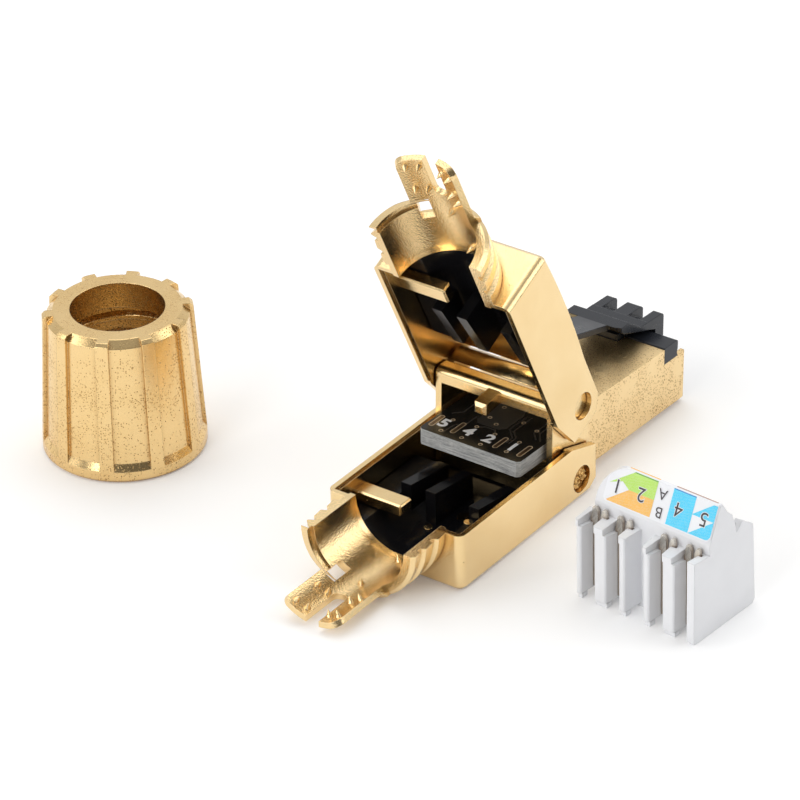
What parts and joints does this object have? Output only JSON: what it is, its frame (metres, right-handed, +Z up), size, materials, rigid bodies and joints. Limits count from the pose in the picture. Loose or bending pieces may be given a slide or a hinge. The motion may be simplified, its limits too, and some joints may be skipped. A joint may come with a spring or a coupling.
{
  "type": "field termination ethernet plug",
  "caption": "Metal network plug shown open: two hinged half shells with cable clamp halves, a nose with contacts and latch, and a round nut and wire manager beside it.",
  "frame": {"origin": "centre of the whole set's footprint, on the table that it lies on", "axes": "+X from the cable end towards the nose of the plug, +Z up from the table, the nut on the +Y side and the wire manager on the -Y side"},
  "size_m": [0.0516, 0.0716, 0.0386],
  "materials": {
    "housing_metal": "gold plating over a die cast shell",
    "lid_metal": "gold plating over die castings",
    "nut_metal": "gold plating with fine dark pits",
    "clear_plastic": "smoky see-through moulding",
    "smoke_plastic": "smoky see-through moulding",
    "board_black": "black solder mask over glass fibre laminate",
    "liner_black": "glossy black moulding",
    "manager_white": "satin white moulding",
    "label_print": "printed sheet with green, orange and blue fields",
    "contact_gold": "gold flashed contact metal",
    "fork_silver": "bright tinned contact metal"
  },
  "bodies": {
    "housing": {"body_shell": "housing_metal", "contact_insert": "clear_plastic", "circuit_board": "board_black", "contact_blade_1": "contact_gold", "contact_blade_2": "contact_gold", "contact_blade_3": "contact_gold", "contact_blade_4": "contact_gold", "contact_blade_5": "contact_gold", "contact_blade_6": "contact_gold", "contact_blade_7": "contact_gold", "contact_blade_8": "contact_gold", "gland_nut": "nut_metal", "wire_manager_block": "manager_white", "wire_manager_label": "label_print", "idc_contact_1": "fork_silver", "idc_contact_2": "fork_silver", "idc_contact_3": "fork_silver", "idc_contact_4": "fork_silver", "idc_contact_5": "fork_silver", "idc_contact_6": "fork_silver", "idc_contact_7": "fork_silver", "idc_contact_8": "fork_silver"},
    "upper_shell": {"upper_lid": "lid_metal", "upper_lid_liner": "liner_black"},
    "lower_shell": {"lower_lid": "lid_metal", "lower_lid_liner": "liner_black"},
    "latch": {"latch_lever": "smoke_plastic"}
  },
  "joints": [
    {"name": "upper_lid_hinge", "type": "hinge", "parent": "housing", "child": "upper_shell", "pos_m": [0.0058, -0.00596, 0.00963], "axis": [0, 1, 0], "range_deg": [-62.6, 32.4]},
    {"name": "lower_lid_hinge", "type": "hinge", "parent": "housing", "child": "lower_shell", "pos_m": [0.0055, -0.00596, 0.00198], "axis": [0, 1, 0], "range_deg": [-87.7, 2.3]},
    {"name": "latch_press", "type": "hinge", "parent": "housing", "child": "latch", "pos_m": [0.02442, -0.00596, 0.00585], "axis": [0, 1, 0], "range_deg": [-6, 0], "stiffness_Nm_per_rad": 0.6}
  ]
}
